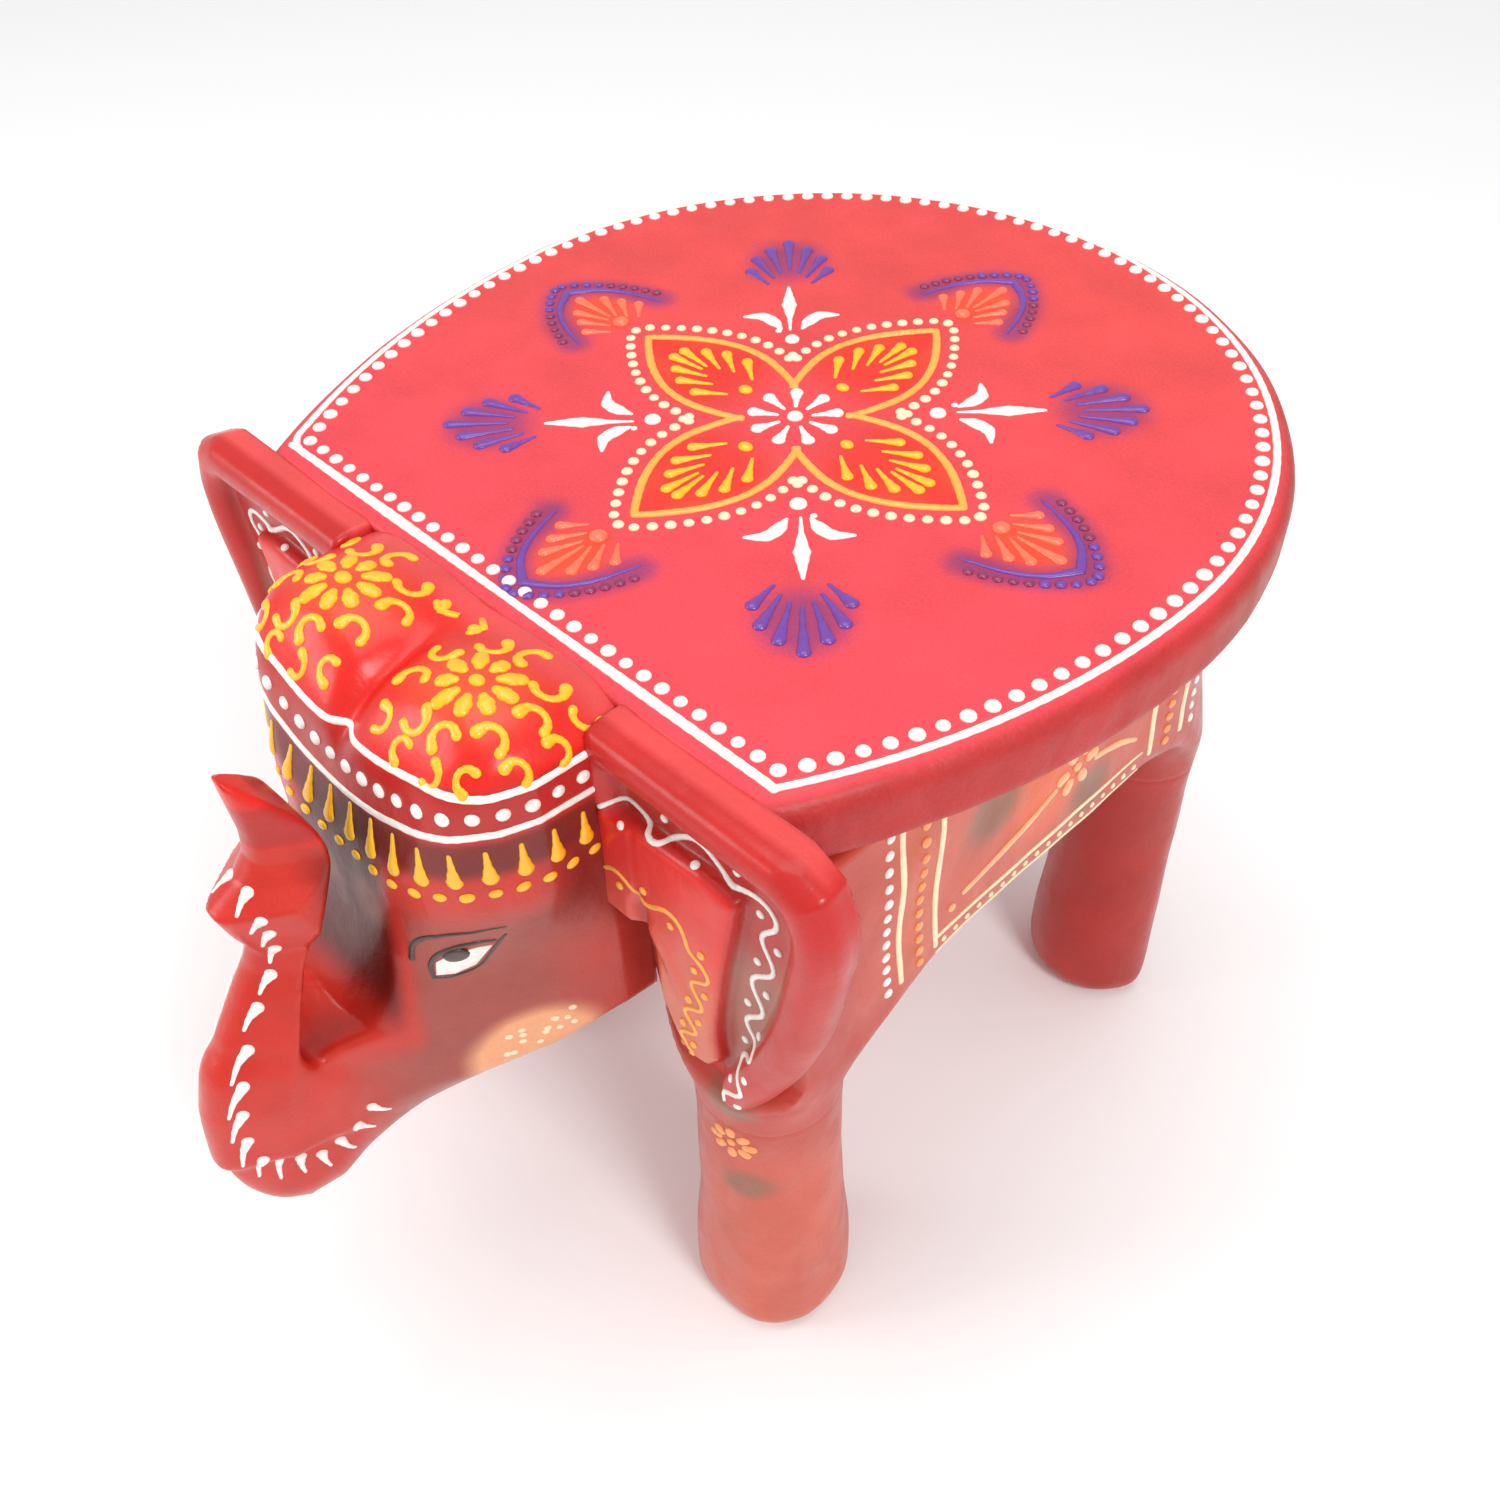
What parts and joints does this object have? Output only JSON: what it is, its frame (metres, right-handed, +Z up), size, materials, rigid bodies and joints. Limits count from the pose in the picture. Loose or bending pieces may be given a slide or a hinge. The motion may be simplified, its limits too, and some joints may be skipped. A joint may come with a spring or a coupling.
{
  "type": "elephant stool",
  "caption": "Low carved wooden elephant stool with a flat rounded seat, round legs, ears and a raised trunk, hand painted in red with raised dot and petal motifs.",
  "frame": {"origin": "centre of the footprint on the floor, under the middle of the seat and trunk", "axes": "+Z up, -Y towards the trunk and face, +X towards the elephant's left side"},
  "size_m": [0.214, 0.298, 0.2115],
  "materials": {
    "painted_seat": "hand-painted coral red with raised cone-work motifs, satin varnish",
    "painted_wood": "hand-painted deep red under gloss varnish",
    "bare_wood": "plain glued dowel",
    "raised_paint": "raised cone-work paint"
  },
  "bodies": {
    "root": {"seat_slab": "painted_seat", "body_block": "painted_wood", "head_block": "painted_wood", "left_ear": "painted_wood", "right_ear": "painted_wood", "front_left_leg": "painted_wood", "front_right_leg": "painted_wood", "rear_left_leg": "painted_wood", "rear_right_leg": "painted_wood", "tail": "painted_wood", "seat_dowels": "bare_wood", "head_dowels": "bare_wood", "left_ear_dowels": "bare_wood", "right_ear_dowels": "bare_wood"}
  },
  "joints": []
}
